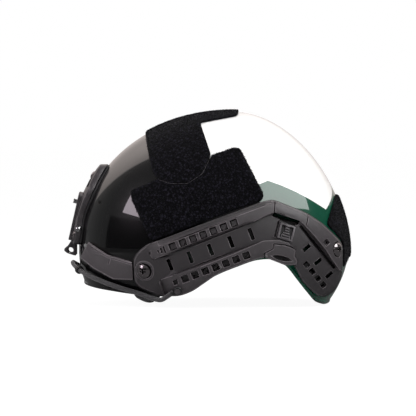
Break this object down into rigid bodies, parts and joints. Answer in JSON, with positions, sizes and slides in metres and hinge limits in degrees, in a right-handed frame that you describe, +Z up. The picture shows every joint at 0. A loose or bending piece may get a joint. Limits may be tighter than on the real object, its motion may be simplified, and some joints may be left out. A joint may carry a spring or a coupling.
{
  "type": "tactical helmet",
  "caption": "High-cut tactical helmet with a painted dome shell, side accessory rails, front shroud, loop panels, elastic cord and foam liner.",
  "frame": {"origin": "on the ground, under the middle of the bounding box; the helmet stands on its nape edge and its two temple pads", "axes": "+Z up, the front of the helmet faces -Y, the wearer's left is +X"},
  "size_m": [0.2264, 0.2814, 0.1907],
  "materials": {
    "shell_paint": "clear-coated paint in three tones, dark green at the rear, black at the front, white above",
    "rail_plastic": "moulded nylon, fine grain",
    "latch_plastic": "moulded nylon",
    "dark_steel": "black-oxide steel, semi-gloss",
    "bright_steel": "plain steel",
    "cord": "braided elastic cord",
    "hook_plastic": "moulded nylon",
    "gasket_rubber": "soft moulded rubber",
    "shroud_metal": "black anodised aluminium",
    "loop_fabric": "loop half of hook-and-loop fastener",
    "foam": "brushed cloth over foam",
    "liner_plastic": "moulded nylon"
  },
  "bodies": {
    "helmet": {"shell": "shell_paint", "rail_left": "rail_plastic", "rail_right": "rail_plastic", "insert_left": "rail_plastic", "insert_right": "rail_plastic", "screw_front_left": "dark_steel", "screw_front_right": "dark_steel", "screw_rear_left": "dark_steel", "screw_rear_right": "dark_steel", "nut_front_left": "dark_steel", "nut_front_right": "dark_steel", "nut_rear_left": "dark_steel", "nut_rear_right": "dark_steel", "brow_band_left": "rail_plastic", "brow_band_right": "rail_plastic", "bungee": "cord", "bungee_hook_left": "hook_plastic", "bungee_hook_right": "hook_plastic", "cord_bead": "hook_plastic", "shroud_gasket": "gasket_rubber", "shroud_frame": "shroud_metal", "shroud_plate": "shroud_metal", "shroud_screw_top": "dark_steel", "shroud_screw_left": "dark_steel", "shroud_screw_right": "dark_steel", "shroud_nut_top": "dark_steel", "shroud_nut_left": "dark_steel", "shroud_nut_right": "dark_steel", "side_bolt_left": "bright_steel", "side_bolt_right": "bright_steel", "loop_top": "loop_fabric", "loop_side_left": "loop_fabric", "loop_side_right": "loop_fabric", "loop_rear": "loop_fabric", "pad_front": "foam", "pad_crown": "foam", "pad_side_left": "foam", "pad_side_right": "foam", "pad_rear": "foam", "temple_pad_left": "foam", "temple_pad_right": "foam", "guide_left": "liner_plastic", "guide_right": "liner_plastic"},
    "latch_left": {"latch_left": "latch_plastic"},
    "latch_right": {"latch_right": "latch_plastic"},
    "lock": {"shroud_lock": "dark_steel"},
    "cradle": {"cradle": "liner_plastic", "cradle_pad": "foam", "dial_housing": "liner_plastic"},
    "dial": {"dial_knob": "liner_plastic"}
  },
  "joints": [
    {"name": "latch_left_slide", "type": "slide", "parent": "helmet", "child": "latch_left", "axis": [-0.195, 0.2437, 0.9501], "range_m": [0, 0.0035]},
    {"name": "latch_right_slide", "type": "slide", "parent": "helmet", "child": "latch_right", "axis": [0.195, 0.2437, 0.9501], "range_m": [0, 0.0035]},
    {"name": "lock_slide", "type": "slide", "parent": "helmet", "child": "lock", "axis": [0, 0.2215, 0.9752], "range_m": [0, 0.003], "stiffness_N_per_m": 400},
    {"name": "cradle_slide", "type": "slide", "parent": "helmet", "child": "cradle", "axis": [0, -1, 0], "range_m": [0, 0.012]},
    {"name": "dial_turn", "type": "hinge", "parent": "cradle", "child": "dial", "pos_m": [0, 0.10833, 0.034], "axis": [0, 0.928, -0.3725], "range_deg": [0, 360]}
  ],
  "couplings": [
    {"joint": "dial_turn", "follows": "cradle_slide", "rad_per_m": 523.59}
  ]
}
